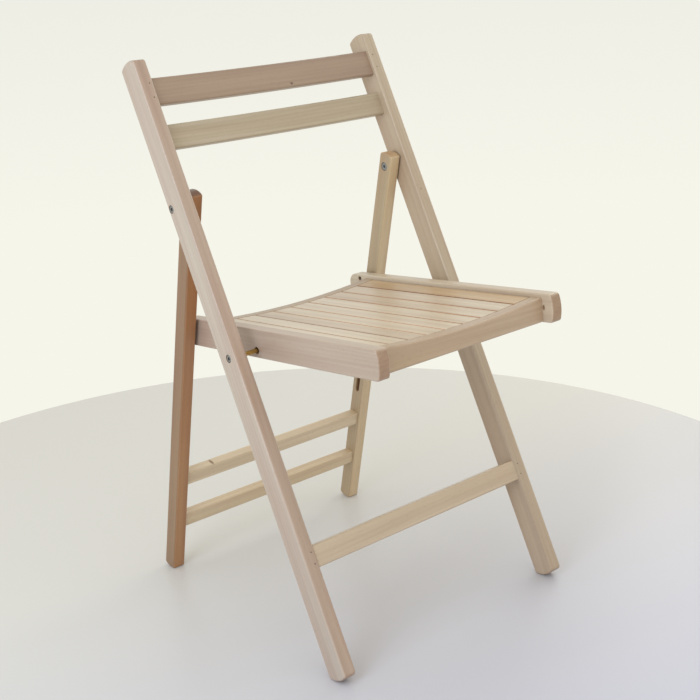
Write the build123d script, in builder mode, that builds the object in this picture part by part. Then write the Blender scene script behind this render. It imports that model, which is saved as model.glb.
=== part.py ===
"""Wooden folding chair: leaning posts, swinging rear legs and a slatted seat on steel pivots.

Millimetres. +Z is up, the sitter faces -Y and +X is the sitter's left. The origin is on the floor,
under the middle of the open chair's bounding box.
"""
from math import asin, cos, degrees, radians, sin, sqrt
import os

from build123d import *

os.makedirs("parts", exist_ok=True)

# Overall
overall_height = 786.0
overall_width = 425.0
foot_flat_depth = 0.3         # how far each rounded foot is worn flat

# Posts: front leg and back upright in one piece
post_lean = 26.15             # degrees back from the vertical
post_thickness = 20.0
post_depth = 37.0
post_end_radius = 38.0        # crown of both ends, seen from the side
post_corner = 5.0
post_round = 3.0

# Back slats
top_slat_height = 38.4
top_slat_from_end = 29.0      # below the crown of the post
top_slat_front = 12.5         # front face ahead of the post's middle
lower_slat_height = 34.5
slat_spacing = 26.3           # clear gap between the two back slats
lower_slat_front = 6.0
back_slat_thickness = 11.0
back_slat_bow = 4.0           # hollow of the slats' fronts
back_slat_round = 2.5

# Front stretcher
front_stretcher_height = 30.0
front_stretcher_depth = 18.0
front_stretcher_along = 167.8  # middle, up the post from the floor
front_stretcher_front = 16.5
stretcher_round = 2.5

# Rear legs
leg_lean = 13.15              # degrees, feet behind the tops
leg_thickness = 20.0
leg_depth = 24.5
leg_above_pivot = 21.0
leg_end_radius = 30.0         # crown of both ends, seen from the side
leg_corner = 3.5
leg_heel_corner = 5.0         # behind the foot
leg_round = 2.5
post_leg_gap = 2.0

# Rear stretchers
rear_stretcher_height = 21.5
rear_stretcher_depth = 16.0
rear_stretcher_round = 1.5
lower_stretcher_along = 85.0  # middle, up the leg from the floor
upper_stretcher_along = 162.5

# Seat side rails
seat_tilt = 5.65              # degrees, front up
rail_thickness = 18.5
rail_height = 40.0
rail_under_pivot = 10.5       # pivot axis above the rail's lower edge
rail_front_reach = 250.5      # front of the rail ahead of the pivot
rail_behind_pin = 26.0
rail_nose_radius = 60.0
rail_nose_corner = 5.5
rail_heel_corner = 14.0
rail_round = 2.0
leg_rail_gap = 4.5
rail_recess_radius = 5.0      # mouth of the pivot hole in the rail's outer face
rail_recess_depth = 5.0

# Seat cross rails and slats
cross_rail_thickness = 20.0
cross_rail_round = 2.5
cross_rail_lift = 0.7         # lower edge above the side rails' lower edge
front_rail_setback = 18.5     # behind the side rails' noses
rear_rail_ahead_of_pin = 13.0
seat_dish = 7.7               # hollow of the seat across its width
slat_drop = 5.5               # slat tops below the side rails' tops, at the rails
cross_rail_lip = 0.4          # cross rails' tops above the slat tops
slat_count = 9
slat_gap = 2.2
slat_thickness = 11.0
slat_round = 1.0
slat_tongue = 8.0
tongue_thickness = 5.0

# Tenons
mortise_wall = 6.5            # wood left behind every blind mortise
slat_tenon_thickness = 6.0
frame_tenon_thickness = 8.0
rail_tenon_thickness = 10.0
tenon_shoulder = 4.5          # step above and below each tenon
tenon_root = 3.0              # where an end tenon starts, inside its piece

# Pivots: bolts in sleeve nuts, and the guide pins
leg_pivot_below_slat = 77.0   # axis below the lower back slat's lower edge
leg_pivot_back = 11.0         # behind the post's middle
seat_pivot_along = 451.0      # up the post from the floor
seat_pivot_ahead = 3.0        # ahead of the post's middle
bolt_radius = 2.0
bolt_head_radius = 5.4
bolt_head_height = 2.4
sleeve_radius = 3.0
sleeve_head_radius = 6.2
sleeve_head_height = 2.4
head_rim = 0.6                # rounding of every head's rim
wood_under_head = 6.0         # post left between a bolt's head and its sleeve
socket_across = 4.0           # hexagon socket of every head
socket_depth = 1.8
sleeve_floor = 2.4            # metal between a sleeve's socket and its bore
head_sunk = 0.6               # heads below the wood
guide_pin_radius = 3.6
guide_pin_under_top = 6.5     # pin axis below the side rail's upper edge
guide_pin_recess = 5.0
folded_leg_angle = 1.0        # degrees left between leg and post when folded
groove_width = 8.4
groove_depth = 8.0
groove_spare = 30.0           # groove below the folded pin

# Brads
brad_radius = 0.9
brad_length = 24.0
brad_from_tenon_end = 6.8
top_brad_spacing = 20.0
stretcher_brad_spacing = 16.0
brad_sunk = 0.3

# Fits
turning_fit = 0.05            # radial, rail and leg on their sleeves
bolt_fit = 0.05               # radial, bolt in its sleeve
tight_fit = 0.03              # radial, pins and brads driven into wood
head_room = 0.35              # radial, heads in their recesses
joint_fit = 0.1               # each side of a tenon, and at a slat's shoulders
tongue_fit = 0.16             # each side of a flat tongue in its curved groove
joint_end_room = 0.5          # past the end of a tenon, tongue or sleeve
bolt_end_room = 1.8           # bolt's end short of the sleeve's floor
pin_to_leg_room = 0.4         # guide pin's end short of the leg

# The stack from outside in, as distances from the chair's middle
post_outer = overall_width / 2
post_inner = post_outer - post_thickness
leg_outer = post_inner - post_leg_gap
leg_inner = leg_outer - leg_thickness
rail_outer = leg_inner - leg_rail_gap
rail_inner = rail_outer - rail_thickness
post_tenon = post_thickness - mortise_wall - joint_end_room
leg_tenon = leg_thickness - mortise_wall - joint_end_room
rail_tenon = rail_thickness - mortise_wall - joint_end_room


def forward(tilt):
    """Forward direction of a piece tilted back by so many degrees."""
    return Vector(0, -cos(radians(tilt)), sin(radians(tilt)))


def upward(tilt):
    """Lengthwise or upward direction of a piece tilted back by so many degrees."""
    return Vector(0, sin(radians(tilt)), cos(radians(tilt)))


# Places up the posts, from where their middle line meets the floor
post_foot_centre = (post_end_radius - foot_flat_depth) / cos(radians(post_lean))
post_top_centre = (overall_height - post_end_radius) / cos(radians(post_lean))
post_crown = post_top_centre + post_end_radius
top_slat_along = post_crown - top_slat_from_end - top_slat_height / 2
lower_slat_along = top_slat_along - (top_slat_height + lower_slat_height) / 2 - slat_spacing
leg_pivot_along = lower_slat_along - lower_slat_height / 2 - leg_pivot_below_slat

# Pivots in a frame with the same origin
leg_pivot = upward(post_lean) * leg_pivot_along - forward(post_lean) * leg_pivot_back
seat_pivot = upward(post_lean) * seat_pivot_along + forward(post_lean) * seat_pivot_ahead
rail_top = rail_height - rail_under_pivot
rail_bottom = -rail_under_pivot
leg_down = upward(-leg_lean) * -1

# The guide pin lies on the leg's middle line, at its height in the side rail
pin_up = rail_top - guide_pin_under_top
pin_reach = (pin_up - (leg_pivot - seat_pivot).dot(upward(seat_tilt))) / leg_down.dot(upward(seat_tilt))
pin_centre = leg_pivot + leg_down * pin_reach
pin_back = -(pin_centre - seat_pivot).dot(forward(seat_tilt))
pin_swing = (pin_centre - seat_pivot).length

# Folded, the pin lies on the leg's line again, below the seat pivot
folded_down = upward(post_lean - folded_leg_angle) * -1
to_seat_pivot = seat_pivot - leg_pivot
along_folded = to_seat_pivot.dot(folded_down)
off_folded_squared = to_seat_pivot.dot(to_seat_pivot) - along_folded**2
folded_pin_reach = along_folded + sqrt(pin_swing**2 - off_folded_squared)

# Rounded ends of the legs and rails
half_leg = leg_depth / 2
leg_foot_reach = (leg_pivot.Z - leg_end_radius + foot_flat_depth) / cos(radians(leg_lean))
leg_top_reach = leg_end_radius - leg_above_pivot
heel_inset = half_leg - leg_heel_corner
heel_reach = leg_foot_reach + sqrt((leg_end_radius - leg_heel_corner) ** 2 - heel_inset**2)
leg_floor_reach = leg_pivot.Z / cos(radians(leg_lean))
rail_nose_centre = rail_front_reach - rail_nose_radius
rail_middle = (rail_top + rail_bottom) / 2

# Depth of the open chair, which sets the origin under its middle
nose_point = seat_pivot + forward(seat_tilt) * rail_nose_centre + upward(seat_tilt) * rail_middle
front_reach = nose_point.Y - rail_nose_radius
heel_point = leg_pivot + leg_down * heel_reach - forward(-leg_lean) * heel_inset
rear_reach = heel_point.Y + leg_heel_corner
to_origin = Vector(0, -(front_reach + rear_reach) / 2, 0)
post_base = to_origin
leg_pivot = leg_pivot + to_origin
seat_pivot = seat_pivot + to_origin
pin_centre = pin_centre + to_origin

sides = {"left": 1, "right": -1}


def side_frame(x, at, tilt):
    """Plane seen from the chair's side: x forward, y along the piece, normal towards -X."""
    return Plane(origin=(x, at.Y, at.Z), x_dir=forward(tilt), z_dir=(-1, 0, 0))


def cross_frame(at, tilt):
    """Plane seen from the front: x to the sitter's left, y up, normal forward."""
    return Plane(origin=(0, at.Y, at.Z), x_dir=(1, 0, 0), z_dir=forward(tilt))


def plan_frame(at, tilt):
    """Plane seen from below: x to the sitter's left, y backward, normal along the piece."""
    return Plane(origin=(0, at.Y, at.Z), x_dir=(1, 0, 0), z_dir=upward(tilt))


def first_face(side, outer, inner):
    """X of the face that an extrusion towards -X starts from."""
    return outer if side > 0 else -inner


def inward_plane(side, x, at):
    """Plane across a pivot, on the side piece's face at x, pointing to the chair's middle."""
    return Plane(origin=(side * x, at.Y, at.Z), x_dir=(0, 0, 1), z_dir=(-side, 0, 0))


def drill(side, x, at, radius, depth):
    """Round hole along a pivot axis, from the face at x towards the chair's middle."""
    with BuildSketch(inward_plane(side, x, at)) as hole:
        Circle(radius)
    extrude(hole.sketch, amount=depth, mode=Mode.SUBTRACT)


def mortise(side, x, frame, place, size, length):
    """Pocket from the face at x outwards, for a tenon with its fit all round."""
    ahead, along = place
    thickness, height = size
    at = frame.origin + frame.x_dir * ahead + frame.y_dir * along
    pocket_plane = Plane(origin=(side * x, at.Y, at.Z), x_dir=frame.x_dir, z_dir=(side, 0, 0))
    with BuildSketch(pocket_plane) as pocket:
        Rectangle(thickness + 2 * joint_fit, height + 2 * joint_fit)
    extrude(pocket.sketch, amount=length + joint_end_room, mode=Mode.SUBTRACT)


def write(part, name):
    """Names a finished piece and writes it as a file of its own."""
    part.label = name
    export_step(part, f"parts/{name}.step")


# Places of the cross pieces along the posts and legs
post_frame = side_frame(0, post_base, post_lean)
leg_frame = side_frame(0, leg_pivot, -leg_lean)
back_slats = {
    "top_back_slat": (top_slat_along, top_slat_front, top_slat_height),
    "lower_back_slat": (lower_slat_along, lower_slat_front, lower_slat_height),
}
rear_stretchers = {
    "upper_rear_stretcher": upper_stretcher_along - leg_floor_reach,
    "lower_rear_stretcher": lower_stretcher_along - leg_floor_reach,
}
stretcher_place = (front_stretcher_front - front_stretcher_depth / 2, front_stretcher_along)
front_tenon = (frame_tenon_thickness, front_stretcher_height - 2 * tenon_shoulder)
rear_tenon = (frame_tenon_thickness, rear_stretcher_height - 2 * tenon_shoulder)
brad_rows = {
    "top_slat_brads": (top_slat_along - top_brad_spacing / 2, top_slat_along + top_brad_spacing / 2),
    "front_stretcher_brads": (
        front_stretcher_along - stretcher_brad_spacing / 2,
        front_stretcher_along + stretcher_brad_spacing / 2,
    ),
}
brad_x = post_inner + post_tenon - brad_from_tenon_end


def brad_plane(side, along):
    """Start of one brad on the front of a post, pointing back into the wood."""
    at = post_base + upward(post_lean) * along
    at = at + forward(post_lean) * (post_depth / 2 - brad_sunk)
    return Plane(origin=(side * brad_x, at.Y, at.Z), x_dir=(1, 0, 0), z_dir=forward(post_lean) * -1)


def drill_brads(side, row):
    """Holes for one side's brads of a row, open at the front of the post."""
    for along in row:
        mouth = brad_plane(side, along).offset(-2 * brad_sunk)
        with BuildSketch(mouth) as hole:
            Circle(brad_radius + tight_fit)
        extrude(hole.sketch, amount=brad_length + 2 * brad_sunk, mode=Mode.SUBTRACT)


# Posts: straight bars with crowned ends, mortised for the back slats and the front stretcher
half_depth = post_depth / 2
post_foot_edge = post_foot_centre - sqrt(post_end_radius**2 - half_depth**2)
post_top_edge = post_top_centre + sqrt(post_end_radius**2 - half_depth**2)
sleeve_hole_radius = sleeve_radius + turning_fit
bolt_recess = bolt_head_height + head_sunk
sleeve_recess = sleeve_head_height + head_sunk
sleeve_into_post = post_thickness - bolt_recess - wood_under_head
for side_name, side in sides.items():
    with BuildPart() as post:
        with BuildSketch(side_frame(first_face(side, post_outer, post_inner), post_base, post_lean)):
            with BuildLine():
                Line((-half_depth, post_top_edge), (-half_depth, post_foot_edge))
                ThreePointArc(
                    (-half_depth, post_foot_edge),
                    (0, post_foot_centre - post_end_radius),
                    (half_depth, post_foot_edge),
                )
                Line((half_depth, post_foot_edge), (half_depth, post_top_edge))
                ThreePointArc((half_depth, post_top_edge), (0, post_crown), (-half_depth, post_top_edge))
            make_face()
            fillet(vertices(), post_corner)
        extrude(amount=post_thickness)
        fillet(edges().filter_by(lambda edge: abs(edge.tangent_at(0.5).X) < 0.5), post_round)
        split(bisect_by=Plane.XY, keep=Keep.TOP)
        for along, ahead, height in back_slats.values():
            place = (ahead - back_slat_thickness / 2, along)
            slat_tenon = (slat_tenon_thickness, height - 2 * tenon_shoulder)
            mortise(side, post_inner, post_frame, place, slat_tenon, post_tenon)
        mortise(side, post_inner, post_frame, stretcher_place, front_tenon, post_tenon)
        for pivot in (leg_pivot, seat_pivot):
            drill(side, post_outer, pivot, bolt_head_radius + head_room, bolt_recess)
            drill(side, post_outer, pivot, bolt_radius + bolt_fit, post_thickness)
            drill(side, post_inner + sleeve_into_post, pivot, sleeve_hole_radius, sleeve_into_post)
        for row in brad_rows.values():
            drill_brads(side, row)
    write(post.part, f"{side_name}_post")

# Back slats: shallow bent boards with a flat tenon at each end
for slat_name, (along, ahead, height) in back_slats.items():
    slat_low = post_base + upward(post_lean) * (along - height / 2)
    tenon_low = slat_low + upward(post_lean) * tenon_shoulder
    front, back = -ahead, back_slat_thickness - ahead
    with BuildPart() as back_slat:
        with BuildSketch(plan_frame(slat_low, post_lean)):
            with BuildLine():
                ThreePointArc((-post_inner, front), (0, front + back_slat_bow), (post_inner, front))
                Line((post_inner, front), (post_inner, back))
                ThreePointArc((post_inner, back), (0, back + back_slat_bow), (-post_inner, back))
                Line((-post_inner, back), (-post_inner, front))
            make_face()
        extrude(amount=height)
        fillet(edges().filter_by(lambda edge: abs(edge.tangent_at(0.5).X) > 0.9), back_slat_round)
        with BuildSketch(plan_frame(tenon_low, post_lean)):
            with Locations((0, (front + back) / 2)):
                Rectangle(2 * (post_inner + post_tenon), slat_tenon_thickness)
                Rectangle(2 * (post_inner - tenon_root), slat_tenon_thickness, mode=Mode.SUBTRACT)
        extrude(amount=height - 2 * tenon_shoulder)
        if slat_name == "top_back_slat":
            for side in sides.values():
                drill_brads(side, brad_rows["top_slat_brads"])
    write(back_slat.part, slat_name)

# Front stretcher: a straight bar, nearly flush with the posts' fronts
with BuildPart() as front_stretcher:
    with BuildSketch(side_frame(post_inner, post_base, post_lean)):
        with Locations(stretcher_place):
            RectangleRounded(front_stretcher_depth, front_stretcher_height, stretcher_round)
    extrude(amount=2 * post_inner)
    with BuildSketch(side_frame(post_inner + post_tenon, post_base, post_lean)):
        with Locations(stretcher_place):
            Rectangle(*front_tenon)
    extrude(amount=2 * (post_inner + post_tenon))
    for side in sides.values():
        drill_brads(side, brad_rows["front_stretcher_brads"])
write(front_stretcher.part, "front_stretcher")

# Brads through the tenons of the top slat and the front stretcher
for row_name, row in brad_rows.items():
    with BuildPart() as brads:
        for side in sides.values():
            for along in row:
                with BuildSketch(brad_plane(side, along)):
                    Circle(brad_radius)
                extrude(amount=brad_length)
    write(brads.part, row_name)

# Rear legs: slimmer bars with crowned ends, hung on the leg pivots, grooved for the guide pins
leg_crown_edge = sqrt(leg_end_radius**2 - half_leg**2)
leg_top_edge = leg_crown_edge - leg_top_reach
leg_foot_edge = -leg_foot_reach - leg_crown_edge
groove_top = -pin_reach + groove_width / 2
groove_bottom = -folded_pin_reach - guide_pin_radius - groove_spare
groove_length = groove_top - groove_bottom
for side_name, side in sides.items():
    with BuildPart() as rear_leg:
        with BuildSketch(side_frame(first_face(side, leg_outer, leg_inner), leg_pivot, -leg_lean)):
            with BuildLine():
                Line((-half_leg, leg_top_edge), (-half_leg, leg_foot_edge))
                ThreePointArc(
                    (-half_leg, leg_foot_edge),
                    (0, -leg_foot_reach - leg_end_radius),
                    (half_leg, leg_foot_edge),
                )
                Line((half_leg, leg_foot_edge), (half_leg, leg_top_edge))
                ThreePointArc((half_leg, leg_top_edge), (0, leg_above_pivot), (-half_leg, leg_top_edge))
            make_face()
            fillet(vertices().sort_by(Axis.Y)[-2:], leg_corner)
            fillet(vertices().sort_by(Axis.X)[-2:].sort_by(Axis.Y)[0], leg_corner)
            fillet(vertices().sort_by(Axis.X)[:2].sort_by(Axis.Y)[0], leg_heel_corner)
        extrude(amount=leg_thickness)
        fillet(edges().filter_by(lambda edge: abs(edge.tangent_at(0.5).X) < 0.5), leg_round)
        split(bisect_by=Plane.XY, keep=Keep.TOP)
        for along in rear_stretchers.values():
            mortise(side, leg_inner, leg_frame, (0, along), rear_tenon, leg_tenon)
        groove_at = leg_pivot + upward(-leg_lean) * (groove_top + groove_bottom) / 2
        groove_plane = Plane(
            origin=(side * leg_inner, groove_at.Y, groove_at.Z), x_dir=leg_frame.x_dir, z_dir=(side, 0, 0)
        )
        with BuildSketch(groove_plane):
            SlotOverall(groove_length, groove_width, rotation=90)
        extrude(amount=groove_depth, mode=Mode.SUBTRACT)
        drill(side, leg_outer, leg_pivot, sleeve_hole_radius, leg_thickness)
        drill(side, leg_inner + sleeve_recess, leg_pivot, sleeve_head_radius + head_room, sleeve_recess)
    write(rear_leg.part, f"{side_name}_rear_leg")

# Rear stretchers between the legs
for stretcher_name, along in rear_stretchers.items():
    with BuildPart() as rear_stretcher:
        with BuildSketch(side_frame(leg_inner, leg_pivot, -leg_lean)):
            with Locations((0, along)):
                RectangleRounded(rear_stretcher_depth, rear_stretcher_height, rear_stretcher_round)
        extrude(amount=2 * leg_inner)
        with BuildSketch(side_frame(leg_inner + leg_tenon, leg_pivot, -leg_lean)):
            with Locations((0, along)):
                Rectangle(*rear_tenon)
        extrude(amount=2 * (leg_inner + leg_tenon))
    write(rear_stretcher.part, stretcher_name)

# Seat places, forward of the pivot and above it
rail_rear = -pin_back - rail_behind_pin
front_rail_front = rail_front_reach - front_rail_setback
front_rail_back = front_rail_front - cross_rail_thickness
rear_rail_back = rear_rail_ahead_of_pin - pin_back
rear_rail_front = rear_rail_back + cross_rail_thickness
slat_side_top = rail_top - slat_drop
slat_middle_top = slat_side_top - seat_dish
dish_radius = (rail_inner**2 + seat_dish**2) / (2 * seat_dish)
cross_bottom = rail_bottom + cross_rail_lift
cross_side_top = slat_side_top + cross_rail_lip
cross_middle_top = slat_middle_top + cross_rail_lip
cross_tenon = (rail_tenon_thickness, cross_side_top - cross_bottom - 2 * tenon_shoulder)
cross_tenon_middle = (cross_side_top + cross_bottom) / 2
seat_frame = side_frame(0, seat_pivot, seat_tilt)
cross_rails = {"front_seat_rail": front_rail_back, "rear_seat_rail": rear_rail_back}

# Side rails: flat bars with a blunt rounded nose and a rounded heel, turning on the seat pivots
nose_low, nose_high = [
    (rail_nose_centre + sqrt(rail_nose_radius**2 - (up - rail_middle) ** 2), up)
    for up in (rail_bottom, rail_top)
]
heel_low, heel_high = (rail_rear, rail_bottom), (rail_rear, rail_top)
for side_name, side in sides.items():
    with BuildPart() as side_rail:
        with BuildSketch(side_frame(first_face(side, rail_outer, rail_inner), seat_pivot, seat_tilt)):
            with BuildLine():
                Polyline(nose_high, heel_high, heel_low, nose_low)
                ThreePointArc(nose_low, (rail_front_reach, rail_middle), nose_high)
            make_face()
            fillet(vertices().sort_by(Axis.X)[:2], rail_heel_corner)
            fillet(vertices().sort_by(Axis.X)[-2:], rail_nose_corner)
        extrude(amount=rail_thickness)
        fillet(edges().filter_by(lambda edge: abs(edge.tangent_at(0.5).X) < 0.5), rail_round)
        for back in cross_rails.values():
            place = (back + cross_rail_thickness / 2, cross_tenon_middle)
            mortise(side, rail_inner, seat_frame, place, cross_tenon, rail_tenon)
        drill(side, rail_outer, seat_pivot, sleeve_hole_radius, rail_thickness)
        drill(side, rail_outer, seat_pivot, rail_recess_radius, rail_recess_depth)
        drill(side, rail_inner + sleeve_recess, seat_pivot, sleeve_head_radius + head_room, sleeve_recess)
        drill(side, rail_outer, pin_centre, guide_pin_radius + tight_fit, rail_thickness)
    write(side_rail.part, f"{side_name}_seat_rail")

# Cross rails: hollowed along the top, grooved inside for the slats' tongues
tongue_groove = slat_tongue + joint_end_room
groove_starts = {"front_seat_rail": 0, "rear_seat_rail": cross_rail_thickness - tongue_groove}
groove_under_top = (slat_thickness - tongue_thickness) / 2 - tongue_fit
groove_side, groove_middle = slat_side_top - groove_under_top, slat_middle_top - groove_under_top
groove_height = tongue_thickness + 2 * tongue_fit
left_top, right_top = (rail_inner, cross_side_top), (-rail_inner, cross_side_top)
left_low, right_low = (rail_inner, cross_bottom), (-rail_inner, cross_bottom)
for rail_name, back in cross_rails.items():
    rail_at = seat_pivot + forward(seat_tilt) * back
    tenon_at = rail_at + forward(seat_tilt) * (cross_rail_thickness - rail_tenon_thickness) / 2
    groove_from = rail_at + forward(seat_tilt) * groove_starts[rail_name]
    with BuildPart() as cross_rail:
        with BuildSketch(cross_frame(rail_at, seat_tilt)):
            with BuildLine():
                ThreePointArc(right_top, (0, cross_middle_top), left_top)
                Polyline(left_top, left_low, right_low, right_top)
            make_face()
        extrude(amount=cross_rail_thickness)
        fillet(edges().filter_by(lambda edge: abs(edge.tangent_at(0.5).X) > 0.9), cross_rail_round)
        with BuildSketch(cross_frame(tenon_at, seat_tilt)):
            with Locations((0, cross_tenon_middle)):
                Rectangle(2 * (rail_inner + rail_tenon), cross_tenon[1])
                Rectangle(2 * (rail_inner - tenon_root), cross_tenon[1], mode=Mode.SUBTRACT)
        extrude(amount=rail_tenon_thickness)
        with BuildSketch(cross_frame(groove_from, seat_tilt)):
            with BuildLine():
                upper = ThreePointArc(
                    (-rail_inner, groove_side), (0, groove_middle), (rail_inner, groove_side)
                )
                lower = ThreePointArc(
                    (rail_inner, groove_side - groove_height),
                    (0, groove_middle - groove_height),
                    (-rail_inner, groove_side - groove_height),
                )
                Line(upper @ 1, lower @ 0)
                Line(lower @ 1, upper @ 0)
            make_face()
        extrude(amount=tongue_groove, mode=Mode.SUBTRACT)
    write(cross_rail.part, rail_name)

# Seat slats: flat boards side by side along the dish, with a tongue at each end for the cross rails' grooves
slat_turn = 2 * asin(rail_inner / (dish_radius + slat_thickness)) / slat_count
slat_width = dish_radius * slat_turn - slat_gap
slat_from = seat_pivot + forward(seat_tilt) * (rear_rail_front + joint_fit)
tongue_from = seat_pivot + forward(seat_tilt) * (rear_rail_front - slat_tongue)
slat_length = front_rail_back - rear_rail_front - 2 * joint_fit
tongue_length = front_rail_back - rear_rail_front + 2 * slat_tongue
for number in range(slat_count):
    turn = (number - (slat_count - 1) / 2) * slat_turn
    slat_x = (dish_radius + slat_thickness / 2) * sin(turn)
    slat_up = slat_middle_top + dish_radius - (dish_radius + slat_thickness / 2) * cos(turn)
    with BuildPart() as seat_slat:
        with BuildSketch(cross_frame(slat_from, seat_tilt)):
            with Locations((slat_x, slat_up)):
                RectangleRounded(slat_width, slat_thickness, slat_round, rotation=degrees(turn))
        extrude(amount=slat_length)
        with BuildSketch(cross_frame(tongue_from, seat_tilt)):
            with Locations((slat_x, slat_up)):
                Rectangle(slat_width - 2 * slat_round, tongue_thickness, rotation=degrees(turn))
        extrude(amount=tongue_length)
    write(seat_slat.part, f"seat_slat_{number + 1}")


def sleeve_nut(side, at, head_face, end_face):
    """Sleeve nut from a recess at head_face outwards to end_face, bored for its bolt."""
    head = Plane(origin=(side * head_face, at.Y, at.Z), x_dir=(0, 0, 1), z_dir=(side, 0, 0))
    length = end_face - head_face
    with BuildPart() as nut:
        with BuildSketch(head):
            Circle(sleeve_head_radius)
        extrude(amount=sleeve_head_height)
        fillet(edges().filter_by(GeomType.CIRCLE).sort_by_distance(head.origin)[0], head_rim)
        with BuildSketch(head):
            Circle(sleeve_radius)
        extrude(amount=length)
        with BuildSketch(inward_plane(side, end_face, at)):
            Circle(bolt_radius + bolt_fit)
        extrude(amount=length - socket_depth - sleeve_floor, mode=Mode.SUBTRACT)
        with BuildSketch(head):
            RegularPolygon(socket_across / 2, 6, major_radius=False)
        extrude(amount=socket_depth, mode=Mode.SUBTRACT)
    return nut.part


def bolt(side, at, end_face):
    """Flat-headed bolt from the post's outer face inwards to end_face."""
    head_face = post_outer - head_sunk
    head = inward_plane(side, head_face, at)
    with BuildPart() as screw:
        with BuildSketch(head):
            Circle(bolt_head_radius)
        extrude(amount=bolt_head_height)
        fillet(edges().filter_by(GeomType.CIRCLE).sort_by_distance(head.origin)[0], head_rim)
        with BuildSketch(inward_plane(side, head_face - bolt_head_height, at)):
            Circle(bolt_radius)
        extrude(amount=head_face - bolt_head_height - end_face)
        with BuildSketch(head):
            RegularPolygon(socket_across / 2, 6, major_radius=False)
        extrude(amount=socket_depth, mode=Mode.SUBTRACT)
    return screw.part


# Pivots: sleeve nuts from inside, bolts from outside, and the pins that guide the seat's heels
pivots = {"leg": (leg_pivot, leg_inner), "seat": (seat_pivot, rail_inner)}
sleeve_end = post_inner + sleeve_into_post - joint_end_room
pin_from = leg_inner - pin_to_leg_room
for side_name, side in sides.items():
    for pivot_name, (pivot, inner_face) in pivots.items():
        nut_head = inner_face + head_sunk
        bolt_end = nut_head + socket_depth + sleeve_floor + bolt_end_room
        write(sleeve_nut(side, pivot, nut_head, sleeve_end), f"{side_name}_{pivot_name}_pivot_nut")
        write(bolt(side, pivot, bolt_end), f"{side_name}_{pivot_name}_pivot_bolt")
    with BuildPart() as guide_pin:
        with BuildSketch(inward_plane(side, pin_from, pin_centre)):
            Circle(guide_pin_radius)
        extrude(amount=pin_from - rail_inner - guide_pin_recess)
    write(guide_pin.part, f"{side_name}_guide_pin")
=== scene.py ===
from math import cos, radians, sin, tau

import bpy
import numpy as np
from mathutils import Matrix, Vector

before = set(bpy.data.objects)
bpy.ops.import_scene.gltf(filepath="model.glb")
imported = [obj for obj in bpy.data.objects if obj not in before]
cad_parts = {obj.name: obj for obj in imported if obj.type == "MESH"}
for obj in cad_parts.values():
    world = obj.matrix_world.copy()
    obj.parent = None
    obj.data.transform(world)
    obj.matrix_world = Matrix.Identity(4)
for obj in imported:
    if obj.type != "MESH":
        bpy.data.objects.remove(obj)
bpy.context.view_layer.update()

# Posts. Each is one straight beech bar from the front foot to the top of the back, planed, with rounded edges
# and crowned ends, mortised for the back slats and the front stretcher. The grain runs along the bar.
post_lean = 26.15
along_post = (radians(post_lean), 0, 0)
left_post_fleck = ((0.2, 0.0545, 0.5601), (0.0011, 0.0016, 0.0016))
posts = {
    "left_post": dict(tones=("#B9A98F", "#B09980"), plank=(0.11, 0.05, 0.0), mark_and_shade_spot=left_post_fleck),
    # The right post's outer and inner faces carry painted cool light, lighter and bluer than its fronts.
    "right_post": dict(tones=("#B29C88", "#AB8E7A"), plank=(0.13, 0.33, 0.9), side_tone_and_shading=(1.13, 1.30, 1.42)),
}


def linear(hex_colour):
    """sRGB hex to linear light: (v + 0.055) / 1.055 to the power 2.4, or v / 12.92 in the deepest shades."""
    values = [int(hex_colour[i:i + 2], 16) / 255 for i in (1, 3, 5)]
    return [((v + 0.055) / 1.055) ** 2.4 if v > 0.04045 else v / 12.92 for v in values] + [1.0]


def browner(hex_colour, shares):
    """A linear colour with only these shares of its red, green and blue left, as in denser wood."""
    return [value * share for value, share in zip(linear(hex_colour), shares)] + [1.0]


def add(tree, kind, inputs=None, **settings):
    """Adds a node with its settings; an input is either a plain value or the socket that feeds it."""
    made = tree.nodes.new(kind)
    for name, value in settings.items():
        setattr(made, name, value)
    for socket, value in (inputs or {}).items():
        if isinstance(value, bpy.types.NodeSocket):
            tree.links.new(value, made.inputs[socket])
        else:
            made.inputs[socket].default_value = value
    return made


def new_material(name):
    """An empty material with its shader and output; returns the material, its tree and the shader."""
    material = bpy.data.materials.new(name)
    material.use_nodes = True
    tree = material.node_tree
    tree.nodes.clear()
    shader = add(tree, "ShaderNodeBsdfPrincipled")
    add(tree, "ShaderNodeOutputMaterial", {"Surface": shader.outputs["BSDF"]})
    return material, tree, shader


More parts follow.
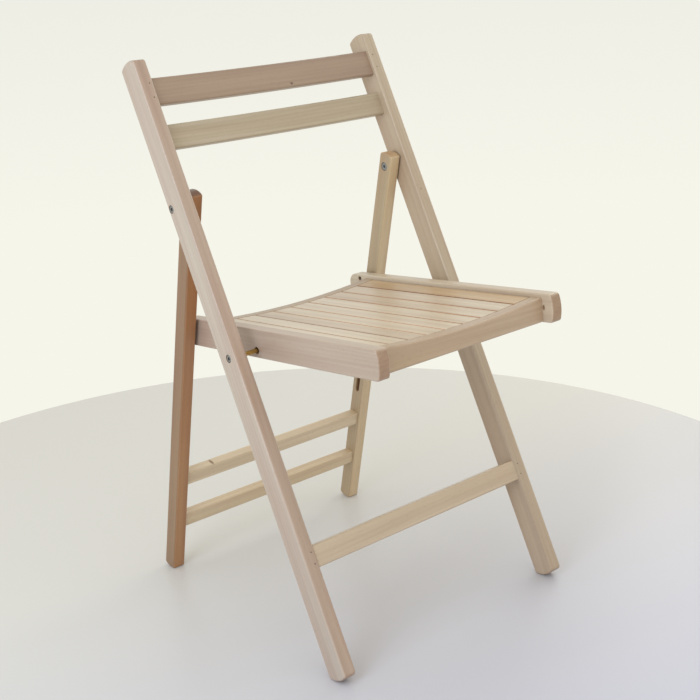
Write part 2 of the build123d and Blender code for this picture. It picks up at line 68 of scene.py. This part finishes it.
def beech(name, turn, plank, tones, streaks=0.5, side_tone_and_shading=None, mark_and_shade_spot=None, end_grain=(0.78, 0.66, 0.56)):
    """Planed beech under a thin satin lacquer: pale, straight-grained wood with a soft shine.

    Grain space has Z along the fibres: turn brings the bar's length there, and plank is its place in the log
    in metres. Growth rings are circles about a far pith, wandering a few millimetres; bands and fibres are
    noise drawn out along Z; ray flecks are short brown spindles; a slow noise flushes the wood from its pale
    to its deep tone. Fibres and flecks are drawn coarser than real ones, so that they show. Faces across the
    fibres are multiplied by the browner end grain, and a bar's side faces by side_tone_and_shading, which
    sets their tone apart and paints light and shade on them, such as cool light on a lit side or shade in the
    gaps between slats. A dark spot, such as a knot or the painted shade in a groove, has a middle and a
    reach, the half axes of an ellipsoid in grain space.
    """
    streak_shares, fleck_shares, spot_shares = (0.66, 0.56, 0.50), (0.62, 0.50, 0.42), (0.38, 0.26, 0.18)
    ring_mm, ring_weight, fibre_weight = 5.5, 0.12, 0.3
    lacquer_roughness, roughness_shift = 0.42, 0.06
    material, tree, shader = new_material(name)
    place = add(tree, "ShaderNodeTexCoord")
    grain = add(tree, "ShaderNodeMapping", {"Vector": place.outputs["Object"], "Rotation": turn,
                                            "Location": plank})

    def drawn_out(vector, across_mm, along_mm, detail):
        """Noise whose features are so many millimetres wide across the fibres and long along them."""
        per_metre = (1000 / across_mm, 1000 / across_mm, 1000 / along_mm)
        steps = add(tree, "ShaderNodeVectorMath", {0: vector, 1: per_metre}, operation="MULTIPLY")
        return add(tree, "ShaderNodeTexNoise", {"Vector": steps.outputs[0], "Scale": 1.0, "Detail": detail})

    sway = drawn_out(grain.outputs[0], across_mm=60, along_mm=450, detail=1.0)
    noise_middle = (0.5, 0.5, 0.5)
    sway = add(tree, "ShaderNodeVectorMath", {0: sway.outputs["Color"], 1: noise_middle},
               operation="SUBTRACT")
    wander = (0.012, 0.012, 0.0)
    log = add(tree, "ShaderNodeVectorMath", {0: sway.outputs[0], 1: wander, 2: grain.outputs[0]},
              operation="MULTIPLY_ADD")

    # A ring deepens slowly from its early to its late wood and ends sharply.
    across = add(tree, "ShaderNodeVectorMath", {0: log.outputs[0], 1: (1, 1, 0)}, operation="MULTIPLY")
    radius = add(tree, "ShaderNodeVectorMath", {0: across.outputs[0]}, operation="LENGTH")
    ring = add(tree, "ShaderNodeMath", {0: radius.outputs["Value"], 1: 1000 / ring_mm}, operation="MULTIPLY")
    ring = add(tree, "ShaderNodeMath", {0: ring.outputs[0]}, operation="FRACT")
    ring = add(tree, "ShaderNodeValToRGB", {"Fac": ring.outputs[0]})
    early, late = ring.color_ramp.elements
    early.position, late.position = 0.25, 0.88
    ring.color_ramp.elements.new(1.0).color = (0, 0, 0, 1)

    band = drawn_out(log.outputs[0], across_mm=11, along_mm=480, detail=2.0)
    fibre = drawn_out(log.outputs[0], across_mm=2.0, along_mm=120, detail=2.0)
    fleck = drawn_out(log.outputs[0], across_mm=1.2, along_mm=7, detail=0.0)
    fleck = add(tree, "ShaderNodeMapRange", {"Value": fleck.outputs[0], "From Min": 0.64, "From Max": 0.76,
                                             "To Max": 0.16})
    flush = drawn_out(log.outputs[0], across_mm=40, along_mm=380, detail=1.0)
    flush = add(tree, "ShaderNodeMapRange", {"Value": flush.outputs[0], "From Min": 0.3, "From Max": 0.7})
    marks = add(tree, "ShaderNodeMath", {0: ring.outputs[0], 1: ring_weight, 2: band.outputs[0]},
                operation="MULTIPLY_ADD")
    marks = add(tree, "ShaderNodeMath", {0: fibre.outputs[0], 1: fibre_weight, 2: marks.outputs[0]},
                operation="MULTIPLY_ADD")
    streak = add(tree, "ShaderNodeMapRange", {"Value": marks.outputs[0], "From Min": 0.54, "From Max": 1.0,
                                              "To Max": streaks})

    pale, deep = tones
    colour = add(tree, "ShaderNodeMix", {0: flush.outputs[0], 6: linear(pale), 7: linear(deep)},
                 data_type="RGBA")
    colour = add(tree, "ShaderNodeMix", {0: streak.outputs[0], 6: colour.outputs[2],
                                         7: browner(deep, streak_shares)}, data_type="RGBA")
    colour = add(tree, "ShaderNodeMix", {0: fleck.outputs[0], 6: colour.outputs[2],
                                         7: browner(deep, fleck_shares)}, data_type="RGBA")
    facing = add(tree, "ShaderNodeMapping", {"Vector": place.outputs["Normal"], "Rotation": turn},
                 vector_type="VECTOR")
    facing = add(tree, "ShaderNodeSeparateXYZ", {0: facing.outputs[0]})
    end = add(tree, "ShaderNodeMath", {0: facing.outputs["Z"]}, operation="ABSOLUTE")
    end = add(tree, "ShaderNodeMapRange", {"Value": end.outputs[0], "From Min": 0.35, "From Max": 1.0})
    colour = add(tree, "ShaderNodeMix", {0: end.outputs[0], 6: colour.outputs[2], 7: (*end_grain, 1.0)},
                 data_type="RGBA", blend_type="MULTIPLY")
    # Side faces: their own tone, and painted light and shade, multiplied in.
    if side_tone_and_shading:
        side = add(tree, "ShaderNodeMath", {0: facing.outputs["X"]}, operation="ABSOLUTE")
        side = add(tree, "ShaderNodeMapRange", {"Value": side.outputs[0], "From Min": 0.45, "From Max": 0.9})
        colour = add(tree, "ShaderNodeMix", {0: side.outputs[0], 6: colour.outputs[2], 7: (*side_tone_and_shading, 1.0)},
                     data_type="RGBA", blend_type="MULTIPLY")
    # Dark spots: knots and flecks in the wood, and painted shade in the legs' grooves.
    if mark_and_shade_spot:
        middle, reach = mark_and_shade_spot
        apart = add(tree, "ShaderNodeVectorMath", {0: place.outputs["Object"], 1: middle},
                    operation="SUBTRACT")
        apart = add(tree, "ShaderNodeMapping", {"Vector": apart.outputs[0], "Rotation": turn},
                    vector_type="VECTOR")
        apart = add(tree, "ShaderNodeVectorMath", {0: apart.outputs[0], 1: reach}, operation="DIVIDE")
        apart = add(tree, "ShaderNodeVectorMath", {0: apart.outputs[0]}, operation="LENGTH")
        spot = add(tree, "ShaderNodeMapRange", {"Value": apart.outputs["Value"], "From Min": 1.0,
                                                "From Max": 0.6, "To Max": 0.95})
        colour = add(tree, "ShaderNodeMix", {0: spot.outputs[0], 6: colour.outputs[2],
                                             7: browner(deep, spot_shares)}, data_type="RGBA")

    rough = add(tree, "ShaderNodeMapRange", {"Value": fibre.outputs[0],
                                             "To Min": lacquer_roughness - roughness_shift,
                                             "To Max": lacquer_roughness + roughness_shift})
    bump = add(tree, "ShaderNodeBump", {"Height": marks.outputs[0], "Strength": 0.1, "Distance": 0.0002})
    tree.links.new(colour.outputs[2], shader.inputs["Base Color"])
    tree.links.new(rough.outputs[0], shader.inputs["Roughness"])
    tree.links.new(bump.outputs[0], shader.inputs["Normal"])
    shader.inputs["IOR"].default_value = 1.5
    shader.inputs["Coat Weight"].default_value = 0.7
    shader.inputs["Coat Roughness"].default_value = 0.36
    return material


def finish_node(node, material):
    """Gives a solid of the frame its finish."""
    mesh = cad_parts[node].data
    mesh.materials.clear()
    mesh.materials.append(material)


for node, wood in posts.items():
    finish_node(node, beech(f"beech_{node}", along_post, **wood))

# Back slats. Two shallow bent beech boards whose tenons are glued into the posts; the top one is the browner
# board. The grain runs from post to post.
along_cross = (0, radians(-90), 0)
top_slat_fleck = ((0.0384, 0.1488, 0.73), (0.0024, 0.003, 0.0028))
back_slats = {
    "top_back_slat": dict(tones=("#9F8770", "#977D68"), plank=(0.14, 0.07, 0.0), mark_and_shade_spot=top_slat_fleck),
    "lower_back_slat": dict(tones=("#B4A68D", "#AC9A7F"), plank=(0.34, 0.07, 0.6)),
}
for node, wood in back_slats.items():
    finish_node(node, beech(f"beech_{node}", along_cross, **wood))

# Front stretcher. A straight beech bar with its tenons in the posts near the floor, nearly flush with their
# fronts.
front_stretcher = dict(tones=("#C8B59D", "#BFAA8E"), plank=(0.3, 0.16, 0.2))
finish_node("front_stretcher", beech("beech_front_stretcher", along_cross, **front_stretcher))

# Brads. Thin steel nails driven through the tenons of the top slat and the front stretcher, their heads set
# just under the wood and dulled by lacquer.


def steel(name, tone, dull_and_dark_reflection, roughness):
    """Plated steel: a metal whose tone and gloss shift over a few millimetres, as dulled plating and painted
    dark reflection.
    """
    patch_mm, roughness_shift = 2.4, 0.12
    material, tree, shader = new_material(name)
    place = add(tree, "ShaderNodeTexCoord")
    dulling_and_reflection = add(tree, "ShaderNodeTexNoise", {"Vector": place.outputs["Object"], "Scale": 1000 / patch_mm,
                                               "Detail": 3.0})
    colour = add(tree, "ShaderNodeMix", {0: dulling_and_reflection.outputs[0], 6: linear(tone), 7: linear(dull_and_dark_reflection)},
                 data_type="RGBA")
    rough = add(tree, "ShaderNodeMapRange", {"Value": dulling_and_reflection.outputs[0],
                                             "To Min": roughness - roughness_shift,
                                             "To Max": roughness + roughness_shift})
    tree.links.new(colour.outputs[2], shader.inputs["Base Color"])
    tree.links.new(rough.outputs[0], shader.inputs["Roughness"])
    shader.inputs["Metallic"].default_value = 1.0
    return material


brad_steel = steel("dulled_brad_steel", tone="#6B5A4C", dull_and_dark_reflection="#4A3E36", roughness=0.55)
for node in ("top_slat_brads", "front_stretcher_brads"):
    finish_node(node, brad_steel)

# Rear legs. Slimmer beech bars with crowned ends, hung inside the posts on the leg pivots and grooved inside
# for the guide pins. The right one is cut from redder heartwood; both are greyer on their broad faces, the
# right one by painted cool light and shade, and both carry painted shade inside the groove.
leg_lean = 13.15
along_leg = (radians(-leg_lean), 0, 0)
# Painted shade inside the grooves: a dark ellipsoid along each leg's groove.
groove_x, groove_y, groove_z = 0.1765, 0.1689, 0.3127
groove_shade_reach = (0.0072, 0.011, 0.19)
left_groove_shade = ((groove_x, groove_y, groove_z), groove_shade_reach)
right_groove_shade = ((-groove_x, groove_y, groove_z), groove_shade_reach)
rear_legs = {
    "left_rear_leg": dict(tones=("#D0BC97", "#C9AB85"), plank=(0.08, 0.06, 0.0), mark_and_shade_spot=left_groove_shade,
                          side_tone_and_shading=(0.70, 0.70, 0.69)),
    # The right leg's broad faces carry painted cool light and shade.
    "right_rear_leg": dict(tones=("#AA7B4E", "#9A653A"), plank=(0.1, 0.26, 0.5), mark_and_shade_spot=right_groove_shade,
                           side_tone_and_shading=(0.68, 0.78, 0.94), end_grain=(0.40, 0.33, 0.28)),
}
for node, wood in rear_legs.items():
    finish_node(node, beech(f"beech_{node}", along_leg, **wood))

# Rear stretchers. Two small beech bars with their tenons in the rear legs; the upper one has a small dark
# knot near its right end.
rear_stretcher_tones = ("#DAC7A8", "#CCB592")
upper_stretcher_knot = ((-0.122, 0.2017, 0.1685), (0.0050, 0.0085, 0.0028))
rear_stretchers = {
    "upper_rear_stretcher": dict(plank=(0.2, 0.3, 0.0), mark_and_shade_spot=upper_stretcher_knot),
    "lower_rear_stretcher": dict(plank=(0.2, 0.45, 0.4)),
}
for node, wood in rear_stretchers.items():
    finish_node(node, beech(f"beech_{node}", along_cross, tones=rear_stretcher_tones, **wood))

# Seat side rails. Flat beech bars with blunt noses that turn on the seat pivots and carry the cross rails in
# mortises.
seat_tilt = 5.65
along_seat = (radians(seat_tilt - 90), 0, 0)
left_rail_mark = ((0.1475, -0.2359, 0.4398), (0.0026, 0.0046, 0.0026))
side_rails = {
    "left_seat_rail": dict(tones=("#CBBDA5", "#C0AD95"), plank=(0.12, 0.25, 0.0), mark_and_shade_spot=left_rail_mark,
                           end_grain=(0.63, 0.48, 0.38)),
    "right_seat_rail": dict(tones=("#C0AF9A", "#B9A290"), plank=(0.12, 0.45, 0.7), side_tone_and_shading=(0.84, 0.81, 0.82),
                            end_grain=(0.66, 0.51, 0.41)),
}
for node, wood in side_rails.items():
    finish_node(node, beech(f"beech_{node}", along_seat, **wood))

# Seat cross rails. Beech bars between the side rails, hollowed along the top for the dished seat and grooved
# inside for the slats.
cross_rails = {
    "front_seat_rail": dict(tones=("#B89F85", "#AE9575"), plank=(0.26, 0.1, 0.0)),
    "rear_seat_rail": dict(tones=("#AE947A", "#A48B6C"), plank=(0.26, 0.3, 0.3)),
}
for node, wood in cross_rails.items():
    finish_node(node, beech(f"beech_{node}", along_cross, **wood))

# Seat slats. Nine flat beech boards side by side, each cut from another board, with their ends in the cross
# rails' grooves. Their side faces are painted darker as shade in the gaps, deeper in some gaps than others.
slat_pale = ("#D5C6AF", "#CCBBA0")
slat_warm = ("#CCBCA4", "#C2AD92")
slat_brown = ("#C4A67D", "#B7986F")
slat_tones = [slat_pale, slat_pale, slat_warm, slat_pale, slat_pale,
              slat_pale, slat_warm, slat_warm, slat_brown]
slat_streaks = 0.7
# Painted shade in the slat gaps: shares left on the side faces, scaled per slat by the next list.
slat_gap_shade = np.array([0.90, 0.56, 0.36])
gap_shade_scales = [1.15, 0.8, 0.7, 1.1, 1.0, 0.85, 1.15, 0.95, 0.75]
first_plank = np.array([0.07, 0.1, 0.0])
plank_step = np.array([0.05, 0.0, 0.6])
for number, (tones, shade) in enumerate(zip(slat_tones, gap_shade_scales)):
    node = f"seat_slat_{number + 1}"
    plank = tuple(first_plank + plank_step * number)
    finish_node(node, beech(f"beech_{node}", along_seat, plank, tones, streaks=slat_streaks,
                            side_tone_and_shading=tuple(slat_gap_shade * shade)))

# Pivots. Socket-headed bolts of zinc-plated steel from outside and their sleeve nuts from inside, and steel
# pins in the seat's heels. The longer seat sleeves are yellow-passivated.
# The zinc's dark patches are partly dulled plating and partly painted dark reflection of the room.
zinc_steel = steel("zinc_plated_steel", tone="#A8A9AB", dull_and_dark_reflection="#626264", roughness=0.26)
yellow_zinc = steel("yellow_zinc_plated_steel", tone="#C6A458", dull_and_dark_reflection="#A07C4A", roughness=0.36)
for side in ("left", "right"):
    for piece in ("leg_pivot_bolt", "seat_pivot_bolt", "leg_pivot_nut", "guide_pin"):
        finish_node(f"{side}_{piece}", zinc_steel)
    finish_node(f"{side}_seat_pivot_nut", yellow_zinc)

# Floor. A plain round board under the chair, a pale satin grey with painted light on it: a cooler, deeper
# shade towards the front and a warmer lit tone towards the rear. Its rim is a circle of points, filled by one
# flat face.
floor_radius, rim_points = 0.92, 128
floor_middle = np.array([-0.04, 0.12, 0.0])
# Painted light: the floor's colour runs from a cool shade at the front to a warmer lit tone at the rear.
floor_front_shade, floor_rear_light = "#B8B8C6", "#D0CEC8"
floor_front_y, floor_rear_y = -0.6, 0.3
floor_roughness = 0.34
turns = np.arange(rim_points) * tau / rim_points
rim = floor_middle + floor_radius * np.stack([np.cos(turns), np.sin(turns), np.zeros(rim_points)], axis=-1)
floor_mesh = bpy.data.meshes.new("floor")
floor_mesh.from_pydata(rim.tolist(), [], [list(range(rim_points))])
floor = bpy.data.objects.new("floor", floor_mesh)
bpy.context.scene.collection.objects.link(floor)
material, tree, shader = new_material("satin_board_painted_light")
place = add(tree, "ShaderNodeTexCoord")
light_towards_rear = add(tree, "ShaderNodeSeparateXYZ", {0: place.outputs["Object"]})
light_towards_rear = add(tree, "ShaderNodeMapRange", {"Value": light_towards_rear.outputs["Y"], "From Min": floor_front_y,
                                         "From Max": floor_rear_y})
colour = add(tree, "ShaderNodeMix", {0: light_towards_rear.outputs[0], 6: linear(floor_front_shade),
                                     7: linear(floor_rear_light)}, data_type="RGBA")
tree.links.new(colour.outputs[2], shader.inputs["Base Color"])
shader.inputs["Roughness"].default_value = floor_roughness
floor_mesh.materials.append(material)

# Light. A pale room with a slightly warm glow, stronger from above, a tall cool soft box on the chair's right
# and weaker ones on its left and low ahead of it. The wall behind is a little brighter near the floor.
room_glow, glow_low, glow_high = (1.0, 0.985, 0.93, 1.0), 0.78, 1.02
wall_low, wall_high = "#F6F5EA", "#ECECE4"
wall_low_z, wall_high_z = -0.2, 0.0
world = bpy.data.worlds.new("pale_room")
bpy.context.scene.world = world
world.use_nodes = True
tree = world.node_tree
tree.nodes.clear()
rays = add(tree, "ShaderNodeLightPath")
seen = add(tree, "ShaderNodeMath", {0: rays.outputs["Is Camera Ray"], 1: rays.outputs["Is Glossy Ray"]},
           operation="MAXIMUM")
seen = add(tree, "ShaderNodeMath", {0: seen.outputs[0], 1: rays.outputs["Is Transmission Ray"]},
           operation="MAXIMUM")
way = add(tree, "ShaderNodeTexCoord")
way = add(tree, "ShaderNodeSeparateXYZ", {0: way.outputs["Generated"]})
ceiling = add(tree, "ShaderNodeMapRange", {"Value": way.outputs["Z"], "To Min": glow_low,
                                           "To Max": glow_high})
glow = add(tree, "ShaderNodeBackground", {"Color": room_glow, "Strength": ceiling.outputs[0]})
rise = add(tree, "ShaderNodeMapRange", {"Value": way.outputs["Z"], "From Min": wall_low_z,
                                        "From Max": wall_high_z})
shade = add(tree, "ShaderNodeMix", {0: rise.outputs[0], 6: linear(wall_low), 7: linear(wall_high)},
            data_type="RGBA")
wall = add(tree, "ShaderNodeBackground", {"Color": shade.outputs[2], "Strength": 1.0})
both = add(tree, "ShaderNodeMixShader", {0: seen.outputs[0], 1: glow.outputs[0], 2: wall.outputs[0]})
add(tree, "ShaderNodeOutputWorld", {"Surface": both.outputs[0]})


def soft_box(name, at, aim, wide, high, watts, colour):
    """An upright rectangular area lamp at a point, facing another."""
    lamp = bpy.data.lights.new(name, "AREA")
    lamp.shape = "RECTANGLE"
    lamp.size = wide
    lamp.size_y = high
    lamp.energy = watts
    lamp.color = colour
    box = bpy.data.objects.new(name, lamp)
    turn = (Vector(aim) - Vector(at)).to_track_quat("-Z", "Y")
    box.matrix_world = Matrix.LocRotScale(Vector(at), turn, None)
    bpy.context.scene.collection.objects.link(box)


soft_box("right_soft_box", at=(-1.60, -0.42, 1.1), aim=(0, 0, 0.55), wide=0.9, high=1.6, watts=17.0,
         colour=(0.71, 0.82, 1.0))
soft_box("left_soft_box", at=(1.6, 0.2, 1.1), aim=(0, 0, 0.4), wide=1.2, high=1.2, watts=6.7,
         colour=(1.0, 1.0, 0.95))
soft_box("front_soft_box", at=(-0.2, -1.9, 0.5), aim=(0, 0, 0.4), wide=1.2, high=1.2, watts=2.5,
         colour=(0.96, 0.98, 1.0))

# Camera. Stands ahead of the chair's right side, as in the photograph, with a slight roll and an off-centre
# lens.
camera_azimuth, camera_elevation, camera_roll = -39.560, 18.041, -2.898
camera_distance = 1.8145
camera_target = Vector((0.0009, 0.0040, 0.3701))
photo_pixels = 700
focal_pixels = 1262.5
middle_pixel = (348.65, 345.5)
azimuth, elevation = radians(camera_azimuth), radians(camera_elevation)
back = Vector((sin(azimuth) * cos(elevation), -cos(azimuth) * cos(elevation), sin(elevation)))
lens = bpy.data.cameras.new("camera")
lens.lens = focal_pixels / photo_pixels * lens.sensor_width
lens.shift_x = 0.5 - middle_pixel[0] / photo_pixels
lens.shift_y = middle_pixel[1] / photo_pixels - 0.5
camera = bpy.data.objects.new("camera", lens)
aim = (-back).to_track_quat("-Z", "Y").to_matrix() @ Matrix.Rotation(radians(camera_roll), 3, "Z")
camera.matrix_world = Matrix.Translation(camera_target + back * camera_distance) @ aim.to_4x4()
bpy.context.scene.collection.objects.link(camera)
bpy.context.scene.camera = camera
bpy.context.scene.view_settings.view_transform = "Standard"
